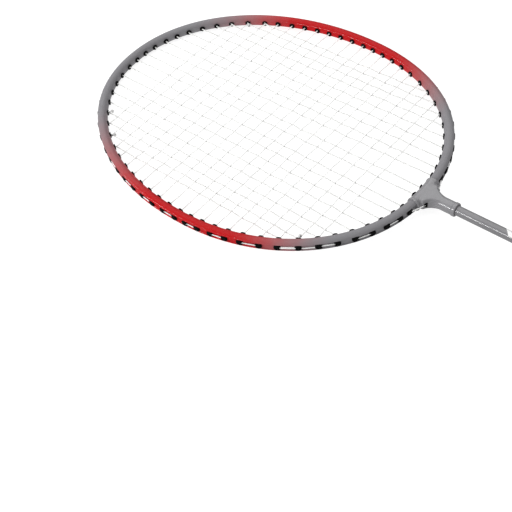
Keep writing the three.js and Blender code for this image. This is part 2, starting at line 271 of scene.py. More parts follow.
FLAKE_SHARE, DRIFT_SHARE = 0.6, 0.4
FLAKE_SHADE, FLAKE_GLINT = (0.05, 0.05, 0.055), (0.9, 0.9, 0.92)
GLINT_LEVEL = 0.66


def flake(nodes, base, strength=0.16):
    """Fine metallic flake and a slow drift over a base colour, with painted glints: bright specks where the
    flake catches the light.
    """
    speck = nodes.noise(5200, 1.0)
    drift = nodes.noise(35, 3.0)
    both = nodes.math("ADD", nodes.math("MULTIPLY", speck, FLAKE_SHARE),
                      nodes.math("MULTIPLY", drift, DRIFT_SHARE))
    dark = nodes.mix(nodes.math("MULTIPLY", both, strength * 2), base, FLAKE_SHADE)
    # Painted glints: the brightest specks of the flake noise are mixed towards near white.
    painted_glints = nodes.math("GREATER_THAN", speck, GLINT_LEVEL)
    return nodes.mix(nodes.math("MULTIPLY", painted_glints, strength), dark, FLAKE_GLINT)


def lacquer(nodes, coat):
    """Gloss over fine orange peel."""
    nodes.set(Coat_Weight=coat, Coat_Roughness=0.07, Coat_IOR=1.55, IOR=1.4)
    nodes.roughness(nodes.noise(90, 4.0), 0.30, 0.42)
    nodes.bump(nodes.noise(420, 2.0), 0.00002, 0.35)


# Each fade of the red, in metres from the head's centre: the way that it looks along the head, where it
# ends and how that changes towards the right side, and its length and how that changes towards the right
RED_FADES = (
    (-1, 0.115, 0.005, 0.0825, -0.0125),
    (1, -0.0975, 0.0025, 0.060, 0.005),
)


def hoop_paint():
    """Red sprayed over grey on each side of the head; the two sides fade out at different places."""
    nodes = Nodes("hoop_paint")
    split = nodes.add("ShaderNodeSeparateXYZ")
    nodes.link(nodes.place, split.inputs[0])
    across = nodes.math("DIVIDE", split.outputs[0], HALF_WIDTH * MM)
    mottle = nodes.math("MULTIPLY", nodes.math("SUBTRACT", nodes.noise(160, 4.0), 0.5), 0.010)
    y = nodes.math("ADD", nodes.math("SUBTRACT", split.outputs[1], HEAD_Y * MM), mottle)
    shares = []
    for toward, end, end_change, length, length_change in RED_FADES:
        end_y = nodes.math("ADD", nodes.math("MULTIPLY", across, end_change), end)
        span = nodes.math("ADD", nodes.math("MULTIPLY", across, length_change), length)
        inside = nodes.math("MULTIPLY", nodes.math("SUBTRACT", y, end_y), toward)
        shares.append(nodes.math("DIVIDE", inside, span, clamp=True))
    fade = nodes.add("ShaderNodeMapRange", interpolation_type="SMOOTHSTEP")
    nodes.link(nodes.math("MULTIPLY", *shares), fade.inputs["Value"])
    nodes.color(flake(nodes, nodes.mix(fade.outputs["Result"], GREY, RED), 0.08))
    nodes.set(Specular_IOR_Level=0.05)
    lacquer(nodes, RED_COAT)
    return nodes.material


def flaked_grey(nodes, dark, light):
    return flake(nodes, nodes.ramp(nodes.noise(20, 2.0), [(0.3, dark), (0.7, light)]))


def grey_paint(name):
    nodes = Nodes(name)
    nodes.color(flaked_grey(nodes, GREY, LIGHT_GREY))
    lacquer(nodes, GREY_COAT)
    return nodes.material


BANDS_FROM_HEAD = 174.7  # mm from the head's centre to the first band
BANDS = ((0.0, 0.0034), (0.0046, 0.022), (0.0278, 0.0034))  # each band's start and width, in metres
BAND_SLANT = 0.92
BAND_SIDES = (-0.00225, 0.0025)  # the bands' edges across the shaft, in metres


def shaft_paint():
    """Grey, with plain slanted white bands on the upper side, below the T-joint."""
    nodes = Nodes("shaft_paint")
    split = nodes.add("ShaderNodeSeparateXYZ")
    nodes.link(nodes.place, split.inputs[0])
    x, y, z = split.outputs
    slanted = nodes.math("SUBTRACT", y, nodes.math("MULTIPLY", x, BAND_SLANT))
    below = nodes.math("SUBTRACT", (HEAD_Y - BANDS_FROM_HEAD) * MM, slanted)
    bands = None
    for start, width in BANDS:
        inside = nodes.math("MULTIPLY", nodes.math("GREATER_THAN", below, start),
                            nodes.math("LESS_THAN", below, start + width))
        bands = inside if bands is None else nodes.math("ADD", bands, inside)
    left, right = BAND_SIDES
    for value, limit in ((x, left), (nodes.math("MULTIPLY", x, -1), -right), (z, 0.0)):
        bands = nodes.math("MULTIPLY", bands, nodes.math("GREATER_THAN", value, limit))
    grey = flaked_grey(nodes, SHAFT_GREY, GREY)
    white = nodes.ramp(nodes.noise(300, 3.0), [(0.3, (0.8, 0.8, 0.79)), (0.7, (0.88, 0.88, 0.87))])
    nodes.color(nodes.mix(bands, grey, white))
    lacquer(nodes, GREY_COAT)
    return nodes.material


def black_nylon():
    nodes = Nodes("grommet_nylon")
    mottle = nodes.noise(900, 3.0)
    nodes.color(nodes.ramp(mottle, [(0.3, (0.0012, 0.0012, 0.0014)), (0.75, (0.004, 0.004, 0.0044))]))
    nodes.set(Specular_IOR_Level=0.06)
    nodes.roughness(nodes.noise(1500, 3.0), 0.42, 0.6)
    nodes.bump(nodes.noise(4000, 2.0), 0.00002, 0.4)
    return nodes.material


BED_CENTRE_Y, BED_HALF_LENGTH = 6, 0.1245  # mm from the head's centre, and metres
BED_EDGE, BED_EDGE_SHARPNESS = 0.93, 12.0
NYLON_DEPTH = 0.0008  # how far light spreads inside the string, in metres


def string_nylon(name, bed_shade_level):
    """White nylon, painted darker in the bed than around the hoop: painted shade, while the loops keep the
    nylon's white.
    """
    nodes = Nodes(name)
    split = nodes.add("ShaderNodeSeparateXYZ")
    nodes.link(nodes.place, split.inputs[0])
    across = nodes.math("DIVIDE", split.outputs[0], HALF_WIDTH * MM)
    from_centre = nodes.math("SUBTRACT", split.outputs[1], (HEAD_Y + BED_CENTRE_Y) * MM)
    along = nodes.math("DIVIDE", from_centre, BED_HALF_LENGTH)
    reach = nodes.math("ADD", nodes.math("MULTIPLY", across, across), nodes.math("MULTIPLY", along, along))
    past_edge = nodes.math("SUBTRACT", reach, BED_EDGE)
    outside = nodes.math("MULTIPLY", past_edge, BED_EDGE_SHARPNESS, clamp=True)
    grime = nodes.noise(260, 3.0)
    dull, light = bed_shade_level - 0.03, bed_shade_level + 0.03
    # Painted shade: the strings in the bed get a darker colour than the loops around the hoop.
    bed_shaded = nodes.ramp(grime, [(0.3, (dull, dull, dull - 0.01)), (0.7, (light, light, light - 0.01))])
    loop_white = nodes.ramp(grime, [(0.3, (0.9, 0.9, 0.89)), (0.7, (0.94, 0.94, 0.93))])
    nodes.color(nodes.mix(outside, bed_shaded, loop_white))
    nodes.set(IOR=1.45, Subsurface_Weight=1.0, Subsurface_Radius=(1, 1, 1), Subsurface_Scale=NYLON_DEPTH)
    nodes.roughness(nodes.noise(700, 3.0), 0.24, 0.4)
    nodes.bump(nodes.noise(2600, 2.0, stretch=(1, 1, 0.4)), 0.00002, 0.4)
    return nodes.material


def black_plastic():
    nodes = Nodes("black_plastic")
    mottle = nodes.noise(120, 4.0)
    nodes.color(nodes.ramp(mottle, [(0.3, (0.012, 0.012, 0.014)), (0.7, (0.026, 0.026, 0.029))]))
    nodes.roughness(nodes.noise(260, 4.0), 0.38, 0.55)
    nodes.bump(nodes.noise(2400, 3.0), 0.00003, 0.5)
    return nodes.material


def grip_foam():
    nodes = Nodes("grip_foam")
    mottle = nodes.noise(180, 5.0)
    nodes.color(nodes.ramp(mottle, [(0.25, (0.012, 0.012, 0.013)), (0.8, (0.034, 0.034, 0.037))]))
    nodes.set(Sheen_Weight=0.15, Sheen_Roughness=0.5)
    nodes.roughness(nodes.noise(500, 4.0), 0.62, 0.86)
    nodes.bump(nodes.noise(3200, 4.0), 0.00005, 0.6)
    return nodes.material


def finishing_vinyl():
    nodes = Nodes("finishing_tape")
    nodes.color(nodes.ramp(nodes.noise(60, 3.0), [(0.3, (0.45, 0.010, 0.018)), (0.7, (0.56, 0.014, 0.024))]))
    nodes.set(Coat_Weight=0.3, Coat_Roughness=0.2)
    nodes.roughness(nodes.noise(220, 3.0), 0.3, 0.45)
    nodes.bump(nodes.noise(500, 3.0, stretch=(1, 0.2, 1)), 0.00005, 0.35)
    return nodes.material


def beech():
    nodes = Nodes("handle_wood")
    grain = nodes.noise(160, 6.0, 0.6, stretch=(1, 0.06, 1))
    browns = [(0.3, (0.33, 0.19, 0.09)), (0.5, (0.50, 0.33, 0.18)), (0.7, (0.60, 0.42, 0.25))]
    nodes.color(nodes.ramp(grain, browns))
    nodes.roughness(grain, 0.5, 0.75)
    nodes.bump(grain, 0.0001, 0.4)
    return nodes.material


def floor_paper():
    """Pale paper on a light table: its own glow keeps the shadows on it faint."""
    nodes = Nodes("floor_paper")
    nodes.color(nodes.ramp(nodes.noise(14, 3.0), [(0.3, (0.31, 0.31, 0.31)), (0.7, (0.33, 0.33, 0.33))]))
    nodes.set(Roughness=0.95, Emission_Color=(1, 1, 1, 1), Emission_Strength=0.85, Specular_IOR_Level=0.0)
    nodes.bump(nodes.noise(900, 3.0), 0.00005, 0.2)
    return nodes.material


HOOP_PAINT = hoop_paint()
JOINT_PAINT = grey_paint("joint_paint")
COLLAR_PAINT = grey_paint("collar_paint")
SHAFT_PAINT = shaft_paint()
NYLON = black_nylon()
MAINS_NYLON = string_nylon("mains_nylon", 0.64)  # the mains are painted darker than the crosses, as painted shade; both strings are the same nylon
CROSSES_NYLON = string_nylon("crosses_nylon", 0.84)
PLASTIC = black_plastic()
FOAM = grip_foam()
VINYL = finishing_vinyl()
WOOD = beech()


# ---------------------------------------------------------------- the hoop's centreline and its holes (mm)
def hoop_point(angle):
    c, s = math.cos(angle), math.sin(angle)
    power = TIP_POWER if s > 0 else THROAT_POWER
    half = TIP_HALF if s > 0 else THROAT_HALF
    x = math.copysign(HALF_WIDTH * abs(c) ** (2 / power), c)
    y = math.copysign(half * abs(s) ** (2 / power), s)
    return Vector((x, y, 0))


def outward_at(angle):
    step = 1e-3
    along = (hoop_point(angle + step) - hoop_point(angle - step)).normalized()
    return along.cross(UP)


def offset_point(angle, distance):
    return hoop_point(angle) + outward_at(angle) * distance


def solve(measure, value, low, high):
    for _ in range(50):
        middle = (low + high) / 2
        if measure(middle) < value:
            low = middle
        else:
            high = middle
    return (low + high) / 2


THROAT, SIDE, TIP = -math.pi / 2, 0.0, math.pi / 2


def mouth(angle):
    return offset_point(angle, -INNER_FACE)


def hole_angles():
    shifts = THROAT_HOLE_SHIFT + [0] * (len(MAIN_X) - len(THROAT_HOLE_SHIFT))
    throat = [solve(lambda a: mouth(a).x, x + shift, THROAT, SIDE) for x, shift in zip(MAIN_X, shifts)]
    sides = [solve(lambda a: mouth(a).y, y, THROAT, TIP) for y in CROSS_Y[SHARED:-SHARED]]
    tip = [solve(lambda a: -mouth(a).x, -x, SIDE, TIP) for x in reversed(MAIN_X)]
    return throat + sides + tip


ANGLES = hole_angles()
HOLES = len(ANGLES)
JOINT_HOLE = Vector((4.6, -THROAT_HALF, 0))
JOINT_SPLAY = math.radians(12)
JOINT_SEAT = 5.65
JOINT_BARREL_END = -5.3


class Hole:
    def __init__(self, index, side):
        angle = ANGLES[index]
        self.index = index
        self.side = side
        self.at = hoop_point(angle)
        self.out = outward_at(angle)
        self.seat = GROOVE_FLOOR + 0.05
        self.end = BARREL_END
        if index == 0:
            self.at = JOINT_HOLE.copy()
            self.out = Vector((math.sin(JOINT_SPLAY), -math.cos(JOINT_SPLAY), 0))
            self.seat = JOINT_SEAT
            self.end = JOINT_BARREL_END
        self.at.x *= side
        self.out.x *= side

    def level(self, distance, z=0.0):
        return self.at + self.out * distance + UP * z


HOLE_SETS = {side: [Hole(i, side) for i in range(HOLES)] for side in (-1, 1)}
SIDE_NAMES = {-1: "left", 1: "right"}


# ---------------------------------------------------------------- hoop
def hoop_section():
    """A round tube with a shallow channel pressed along its outside."""
    section = []
    floor_half, lip = 1.5, 2.4
    channel_steps = 24
    for i in range(channel_steps + 1):
        v = -lip + 2 * lip * i / channel_steps
        outside = math.sqrt(TUBE_R ** 2 - v ** 2)
        section.append((GROOVE_FLOOR + (outside - GROOVE_FLOOR) * smoothstep(floor_half, lip, abs(v)), v))
    start = math.asin(lip / TUBE_R)
    round_steps = 40
    for i in range(1, round_steps):
        angle = start + (2 * math.pi - 2 * start) * i / round_steps
        section.append((TUBE_R * math.cos(angle), TUBE_R * math.sin(angle)))
    return section


def build_hoop():
    start = solve(lambda a: hoop_point(a).x, TUBE_END_X, THROAT, SIDE)
    steps = 360
    right = [hoop_point(start + (TIP - start) * i / steps) for i in range(steps + 1)]
    left = [Vector((-p.x, p.y, 0)) for p in reversed(right[:-1])]
    verts, faces = sweep(right + left, hoop_section())
    piece("hoop_tube", [world(v) for v in verts], faces, HOOP_PAINT, ["head_frame"])


# ---------------------------------------------------------------- T-joint
ARM_R, ARM_X = 4.35, 9.6
STEM_R, STEM_END = 4.15, -139.3
FAIRING_R = 7.0
WEB_HALF = 4.3
WEB_TOP, WEB_END = -THROAT_HALF + 1.5, -131.5
ARM_STATIONS = (-0.0982, -0.05, 0, 0.05, 0.0982)  # angles from the throat, along the hoop
RIM_START, RIM_HEIGHT = 0.084, 0.3  # the raised rim at each arm's mouth
JOINT_VOXEL = 0.00024
JOINT_SOFTENING = 22
SHAFT_SOCKET_R, SHAFT_SOCKET_END = 3.3, -125.5
GROMMET_POCKET_R, GROMMET_DRILL_R = 2.25, 1.6


def web():
    """The delta between the arms and the stem: boxy and wide at the arms, round and narrow at the stem."""
    centre_x, centre_y = STEM_R + FAIRING_R, -THROAT_HALF - ARM_R - FAIRING_R
    rings, around = 30, 64
    verts = []
    for i in range(rings + 1):
        y = WEB_END + (WEB_TOP - WEB_END) * i / rings
        rise = min(max(y - centre_y, 0.0), FAIRING_R)
        width = min(centre_x - math.sqrt(FAIRING_R ** 2 - rise ** 2), ARM_X - 0.6)
        blend = smoothstep(WEB_END, centre_y + 5, y)
        power = 2 + 2.5 * blend
        half = STEM_R + (WEB_HALF - STEM_R) * blend
        for j in range(around):
            c, v = math.cos(2 * math.pi * j / around), math.sin(2 * math.pi * j / around)
            verts.append(Vector((math.copysign(width * abs(c) ** (2 / power), c), y,
                                 math.copysign(half * abs(v) ** (2 / power), v))))
    faces = [tuple(reversed(face)) for face in grid_faces(rings + 1, around)]
    faces.append(tuple(range(around)))
    faces.append(tuple(rings * around + j for j in reversed(range(around))))
    return verts, faces


def bar(start, end, radius, sides=48):
    """A plain solid rod between two points near the string plane."""
    return sweep([start, end], circle(radius, sides))


def joint_body():
    arms = sweep([hoop_point(THROAT + angle) for angle in ARM_STATIONS], circle(ARM_R, 48))
    rims = [sweep([hoop_point(THROAT + s * RIM_START), hoop_point(THROAT + s * ARM_STATIONS[-1])][::s],
                  circle(ARM_R + RIM_HEIGHT, 48)) for s in (-1, 1)]
    stem = bar(Vector((0, STEM_END, 0)), Vector((0, -THROAT_HALF, 0)), STEM_R)
    return merged(arms, stem, web(), *rims)


def joint_cutters():
    """The bores for the tube and the shaft, and a pocket and a drilled hole for each stem grommet."""
    tube_points = [hoop_point(THROAT + 0.02 * i) for i in range(-6, 7)]
    cutters = [sweep(tube_points, circle(TUBE_R + 0.04, 48))]
    cutters.append(bar(Vector((0, STEM_END - 1, 0)), Vector((0, SHAFT_SOCKET_END, 0)), SHAFT_SOCKET_R))
    for side in (-1, 1):
        hole = HOLE_SETS[side][0]
        cutters.append(bar(hole.level(JOINT_SEAT - 0.05), hole.level(12), GROMMET_POCKET_R, 32))
        cutters.append(bar(hole.level(-9), hole.level(9), GROMMET_DRILL_R, 24))
    return cutters


def cut_away(obj, cutter_part):
    verts, faces = cutter_part
    mesh = bpy.data.meshes.new("cutter")
    mesh.from_pydata([tuple(world(v)) for v in verts], [], faces)
    cutter = bpy.data.objects.new("cutter", mesh)
    bpy.context.scene.collection.objects.link(cutter)
    boolean = obj.modifiers.new("cut", "BOOLEAN")
    boolean.object = cutter
    boolean.solver = "MANIFOLD"
    apply_modifiers(obj)
    bpy.data.objects.remove(cutter)


def build_joint():
    verts, faces = joint_body()
    joint = piece("t_joint", [world(v) for v in verts], faces, JOINT_PAINT, ["throat_joint"])
    remesh = joint.modifiers.new("remesh", "REMESH")
    remesh.mode = "VOXEL"
    remesh.voxel_size = JOINT_VOXEL
    remesh.use_smooth_shade = True
    soften = joint.modifiers.new("soften", "SMOOTH")
    soften.factor = 0.5
    soften.iterations = JOINT_SOFTENING
    apply_modifiers(joint)
    for cutter_part in joint_cutters():
        cut_away(joint, cutter_part)
    joint.data.materials.clear()
    joint.data.materials.append(JOINT_PAINT)
    joint.data.polygons.foreach_set("use_smooth", [True] * len(joint.data.polygons))
    joint.data.set_sharp_from_angle(angle=math.radians(38))


def build_collar():
    low, high = (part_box("stem_collar")[i][1] / MM - HEAD_Y for i in (0, 1))
    outer, inner, edge = 4.42, 3.3, 0.55
    profile = [(inner, low)]
    profile += fillet(edge, (outer - edge, low + edge), -90, 0, 5)
    profile += fillet(edge, (outer - edge, high - edge), 0, 90, 5)
    profile.append((inner, high))
    verts, faces = lathe(profile, 72, world)
    piece("stem_ring", verts, faces, COLLAR_PAINT, ["stem_collar"])


# ---------------------------------------------------------------- grommets
BORE_R = 0.62
WIDE_BORE_R = 0.9
BARREL_R = 1.5
BARREL_LIP_R = 2.0
GROMMET_HEAD_R = 2.25
HEAD_THICKNESS = 1.1
CAP_THICKNESS = 0.24  # the head closes over the string
CAP_HOLE_R = 0.25
NOTCH_START = 1.3  # from the hole's centre to the notch's blind end
NOTCH_PLAY = 0.12
NOTCH_LEVEL = -0.04  # the floor, above the seat, of the notch that the string lies in


def shares_two_strings(hole):
    last_main = len(MAIN_X) - 1
    from_tip = HOLES - 1 - hole.index
    return last_main - SHARED < hole.index <= last_main or last_main - SHARED < from_tip <= last_main


def grommet(hole, partner):
    """A barrel with a rolled inner lip and a domed head, which the string enters by a notch in its side."""
    bore = WIDE_BORE_R if shares_two_strings(hole) else BORE_R
    seat, end, top = hole.seat, hole.end, hole.seat + HEAD_THICKNESS
    lip, lip_length, dome, crown = 0.3, 0.9, 0.7, 0.35
    mouth_flare, mouth_depth = 0.2, 0.25
    cap_floor = top - CAP_THICKNESS
    profile = [(bore, end + mouth_depth), (bore + mouth_flare, end)]
    profile += fillet(lip, (BARREL_LIP_R - lip, end + lip), -90, 60, 6)
    profile += [(BARREL_R, end + lip_length), (BARREL_R, seat), (GROMMET_HEAD_R, seat)]
    profile += fillet(dome, (GROMMET_HEAD_R - dome, top - dome), 0, 80, 6)
    profile += [(bore + crown, top), (CAP_HOLE_R, top), (CAP_HOLE_R, cap_floor), (bore, cap_floor)]
    turn = Matrix.Rotation(math.atan2(-hole.out.x, hole.out.y), 3, "Z")
    notch_side = math.copysign(1, (turn.inverted() @ (partner.at - hole.at)).x)
    notch_floor = seat + NOTCH_LEVEL

    def place(corner):
        in_notch = corner.x * notch_side > NOTCH_START and abs(corner.z) < STRING_R + NOTCH_PLAY
        if in_notch and corner.y > notch_floor:
            corner = Vector((corner.x, notch_floor, corner.z))
        return world(hole.at + turn @ corner)

    return lathe(profile, 48, place)


def strip(first):
    """The thin moulded strip in the groove between two grommets, for the right side."""
    start, end = ANGLES[first], ANGLES[first + 1]
    steps = 12
    level = GROOVE_FLOOR + 0.22
    points = [offset_point(start + (end - start) * i / steps, level) for i in range(steps + 1)]
    half, thick, edge = 0.4, 0.14, 0.08
    section = [(thick, -half + edge), (thick, half - edge), (thick - edge, half), (-thick, half),
               (-thick, -half), (thick - edge, -half)]
    return sweep(points, section)


def build_grommets():
    for side, holes in HOLE_SETS.items():
        name = SIDE_NAMES[side]
        for hole, node in ((holes[0], f"stem_grommet_{name}"), (holes[1], f"throat_grommet_{name}")):
            verts, faces = grommet(hole, holes[1 - hole.index])
            piece(f"{node}_moulded", verts, faces, NYLON, [node])
        for first in range(2, HOLES, 2):
            verts, faces = strip(first)
            if side < 0:
                verts = [Vector((-v.x, v.y, v.z)) for v in verts]
                faces = [tuple(reversed(face)) for face in faces]
            strip_part = ([world(v) for v in verts], faces)
            pair = holes[first], holes[first + 1]
            verts, faces = merged(grommet(pair[0], pair[1]), grommet(pair[1], pair[0]), strip_part)
            node = f"grommet_pair_{name}_{first // 2:02d}"
            piece(f"{node}_moulded", verts, faces, NYLON, [node])


# ---------------------------------------------------------------- strings
LAYER_Z = 0.42  # height of a string in a hole that it shares with the other string
WEAVE_Z = 0.34  # how far a string rises and dips where it crosses another
STRING_SIDES = 8
GROOVE_LEVEL = 2.5
MOUTH_LIFT = 0.30
CORNER_R = 0.55


def rounded(points, radius, steps=4):
    """The line with every corner replaced by a short curve."""
    line = [points[0]]
    for before, corner, after in zip(points, points[1:], points[2:]):
        reach = min(radius, (before - corner).length / 2.1, (after - corner).length / 2.1)
        start = corner + (before - corner).normalized() * reach
        end = corner + (after - corner).normalized() * reach
        for i in range(steps + 1):
            t = i / steps
            line.append(start * (1 - t) ** 2 + corner * 2 * t * (1 - t) + end * t ** 2)
    line.append(points[-1])
    return line


# Each side's holes are counted from the throat round to the tip
def throat_hole(main):
    return main


def tip_hole(main):
    return HOLES - 1 - main


def cross_hole(cross):
    return len(MAIN_X) - SHARED + cross


def hole_height(hole, layer):
    return LAYER_Z * layer if shares_two_strings(hole) else 0.0


def inner_mouth(hole, layer):
    return hole.level(hole.end - MOUTH_LIFT, hole_height(hole, layer))


def outer_mouth(hole, layer):
    level = GROOVE_LEVEL if hole.index else JOINT_SEAT + NOTCH_LEVEL + STRING_R
    return hole.level(level, hole_height(hole, layer))


def run_between(start, end, crossings, layer):
    """A woven run: it passes over or under at each crossing, and lies level at its two mouths.

    crossings holds (share of the run, +1 above or -1 below) from start to end.
    """
    knots = [(0.0, start.z)] + [(t, WEAVE_Z * sign * layer) for t, sign in crossings] + [(1.0, end.z)]
    points = []
    steps = 4
    for (t0, z0), (t1, z1) in zip(knots, knots[1:]):
        for i in range(steps):
            share = i / steps
            ease = (1 - math.cos(math.pi * share)) / 2
            t = t0 + (t1 - t0) * share
            point = start.lerp(end, t)
            point.z = z0 + (z1 - z0) * ease
            points.append(point)
    points.append(end.copy())
    return points


def main_ends(side, main):
    holes = HOLE_SETS[side]
    return holes[throat_hole(main)], holes[tip_hole(main)]


def column(side, main):
    """Mains counted from the left edge to the right."""
    return len(MAIN_X) + main if side > 0 else len(MAIN_X) - 1 - main


def over(column_index, row):
    return 1 if (column_index + row) % 2 == 0 else -1


CROSSING_MARGIN = 2.5


def main_run(side, main):
    """From the throat to the tip."""
    throat, tip = main_ends(side, main)
    start, end = inner_mouth(throat, 1), inner_mouth(tip, 1)
    crossings = []
    for row, y in enumerate(CROSS_Y):
        if start.y + CROSSING_MARGIN < y < end.y - CROSSING_MARGIN:
            crossings.append(((y - start.y) / (end.y - start.y), over(column(side, main), row)))
    return run_between(start, end, crossings, 1)


def cross_run(row):
    """From the left side to the right."""
    left = HOLE_SETS[-1][cross_hole(row)]
    right = HOLE_SETS[1][cross_hole(row)]
    start, end = inner_mouth(left, -1), inner_mouth(right, -1)
    crossings = []
    for side in (-1, 1):
        mains = range(len(MAIN_X))
        for main in (reversed(mains) if side < 0 else mains):
            throat, tip = (inner_mouth(hole, 1) for hole in main_ends(side, main))
            x = throat.x + (tip.x - throat.x) * (start.y - throat.y) / (tip.y - throat.y)
            spans = throat.y + CROSSING_MARGIN < start.y < tip.y - CROSSING_MARGIN
            if spans and start.x + CROSSING_MARGIN < x < end.x - CROSSING_MARGIN:
                crossings.append(((x - start.x) / (end.x - start.x), over(column(side, main), row)))
    return run_between(start, end, crossings, -1)


def loop(side, lower, upper, layer):
    """Points in the groove between two holes of one side, from the lower to the upper, ends left out."""
    a, b = HOLE_SETS[side][lower], HOLE_SETS[side][upper]
    if lower == 0:
        return [a.level(JOINT_SEAT + NOTCH_LEVEL + STRING_R).lerp(b.level(GROOVE_LEVEL + 0.5), 0.6)]
    points = []
    steps = 4
    for i in range(1, steps):
        angle = ANGLES[lower] + (ANGLES[upper] - ANGLES[lower]) * i / steps
        point = offset_point(angle, GROOVE_LEVEL - 0.05)
        height_a, height_b = hole_height(a, layer), hole_height(b, layer)
        point = Vector((point.x * side, point.y, height_a + (height_b - height_a) * i / steps))
        points.append(point)
    return points


KNOT_R, KNOT_PITCH = 0.74, 0.3
KNOT_TURNS = 2.5


def knot(hole, along, layer):
    """A tail that comes in through a hole and is tied round the string that leaves by it."""
    mouth_point = hole.level(hole.end - MOUTH_LIFT, -0.9 * layer)
    centre = hole.level(hole.end - 1.6, 0) + along * 0.6
    across = along.cross(UP)
    points = [hole.level(GROOVE_LEVEL, -0.3 * layer), mouth_point]
    steps = 10
    for i in range(int(KNOT_TURNS * steps) + 1):
        angle = 2 * math.pi * i / steps
        ring = across * math.cos(angle) * KNOT_R + UP * -math.sin(angle) * KNOT_R * layer
        points.append(centre + ring + along * (0.25 + KNOT_PITCH * i / steps))
    points.append(points[-1] + across * 0.9 + along * 1.3 + UP * 0.3 * layer)
    return points


SHARP_TURN = math.radians(12)


def rounded_route(route):
    """Rounds only the sharp corners of a route."""
    sharp = math.cos(SHARP_TURN)
    line = [route[0]]
    for before, corner, after in zip(route, route[1:], route[2:]):
        a, b = (corner - before), (after - corner)
        if a.length < 1e-6 or b.length < 1e-6:
            continue
        if a.normalized().dot(b.normalized()) > sharp:
            line.append(corner)
        else:
            line += rounded([before, corner, after], CORNER_R)[1:-1]
    line.append(route[-1])
    return line


def string_tube(name, route, nylon, node):
    verts, faces = sweep(rounded_route(route), circle(STRING_R, STRING_SIDES))
    piece(name, [world(v) for v in verts], faces, nylon, [node])


def half_mains(side):
    """From the loop at the middle of the tip out to the tie-off at the outermost main."""
    holes = HOLE_SETS[side]
    route = []
    last = len(MAIN_X) - 1
    for main in range(len(MAIN_X)):
        throat, tip = main_ends(side, main)
        run = [outer_mouth(throat, 1)] + main_run(side, main) + [outer_mouth(tip, 1)]
        down = main % 2 == 0
        route += list(reversed(run)) if down else run
        if main == last:
            break
        if down:
            route += loop(side, throat_hole(main), throat_hole(main + 1), 1)
        else:
            route += list(reversed(loop(side, tip_hole(main + 1), tip_hole(main), 1)))
    route += loop(side, tip_hole(last), tip_hole(last - 1), 1)
    route += knot(holes[tip_hole(last - 1)], Vector((0, -1, 0)), 1)
    return route


def build_strings():
    middle = Vector((0, TIP_HALF + GROOVE_LEVEL, 0))
    string_tube("mains_woven", list(reversed(half_mains(-1))) + [middle] + half_mains(1),
                MAINS_NYLON, "main_string")
    rows = len(CROSS_Y)
    left = HOLE_SETS[-1]
    route = list(reversed(knot(left[cross_hole(1)], Vector((1, 0, 0)), -1)))
    route += list(reversed(loop(-1, cross_hole(0), cross_hole(1), -1)))
    for row in range(rows):
        holes = [HOLE_SETS[side][cross_hole(row)] for side in (-1, 1)]
        run = [outer_mouth(holes[0], -1)] + cross_run(row) + [outer_mouth(holes[1], -1)]
        to_right = row % 2 == 0
        route += run if to_right else list(reversed(run))
        if row < rows - 1:
            route += loop(1 if to_right else -1, cross_hole(row), cross_hole(row + 1), -1)
    route += loop(-1, cross_hole(rows - 1), cross_hole(rows), -1)
    route += knot(left[cross_hole(rows)], Vector((1, 0, 0)), -1)
    string_tube("crosses_woven", route, CROSSES_NYLON, "cross_string")


# ---------------------------------------------------------------- shaft
def build_shaft():
    low, high = (corner[1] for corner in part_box("shaft"))
    outer, wall, edge = 3.12, 0.5, 0.12
    a, b = low / MM, high / MM
    profile = [(outer - wall, a), (outer - edge, a), (outer, a + edge), (outer, b - edge), (outer - edge, b),
               (outer - wall, b)]
    verts, faces = lathe(profile, 96, lambda v: v * MM)
    shaft = piece("shaft_tube", verts, faces, SHAFT_PAINT, ["shaft"])
    shaft.data.set_sharp_from_angle(angle=math.radians(40))


# ---------------------------------------------------------------- handle (mm from the butt)
HANDLE_FLATTEN = 0.9
OCTAGON = 8
CORNER_BLUNTING = 0.5  # share of a corner's height that full softness takes off
CORNER_ROLL = 2.2
MOULDED_SOFTNESS, FOAM_SOFTNESS, BORE_SOFTNESS = 0.5, 0.9, 0.3
CORNER_ROLL_START = 3.2  # the roll starts one such part of a sector from the middle of a flat


def octagon_radius(angle, corner_r, softness):
    """Distance to the side of an octagon with softened corners, flats facing the sides."""
    sector = 2 * math.pi / OCTAGON
    apothem = corner_r * math.cos(sector / 2)
    local = (angle + sector / 2) % sector - sector / 2
    flat = apothem / math.cos(local)
    blunted = apothem + (corner_r - apothem) * (1 - softness * CORNER_BLUNTING)
    roll = softness * CORNER_ROLL * max(0.0, abs(local) - sector / CORNER_ROLL_START) ** 2 * corner_r
    return min(flat, blunted - roll)


def octagon_point(angle, radius, y):
    return Vector((radius * math.cos(angle), y, radius * math.sin(angle) * HANDLE_FLATTEN))


def octagon_loft(levels, around, closed):
    """Rings of (corner radius, y); closed joins the last ring to the first, or else both ends are capped."""
    verts = []
    for corner_r, y in levels:
        for j in range(around):
            angle = 2 * math.pi * j / around
            verts.append(octagon_point(angle, octagon_radius(angle, corner_r, MOULDED_SOFTNESS), y) * MM)
    faces = [tuple(reversed(face)) for face in grid_faces(len(levels), around)]
    last = (len(levels) - 1) * around
    if closed:
        faces += [(last + (j + 1) % around, (j + 1) % around, j, last + j) for j in range(around)]
    else:
        faces.append(tuple(range(around)))
        faces.append(tuple(last + j for j in reversed(range(around))))
    return verts, faces


WRAP_PITCH = 21.0  # how far the grip tape climbs in one turn
WRAP_OVERLAP = 3.2
WRAP_STEP = 0.55  # how proud the overlap stands
HOLE_PITCH = 4.2
PERFORATION_R = 0.62
PERFORATION_DEPTH = 0.35
HOLES_AROUND = 20
OVERLAP_EDGE, OVERLAP_FADE = 0.9, 4
TAPE_CROWN = 0.18


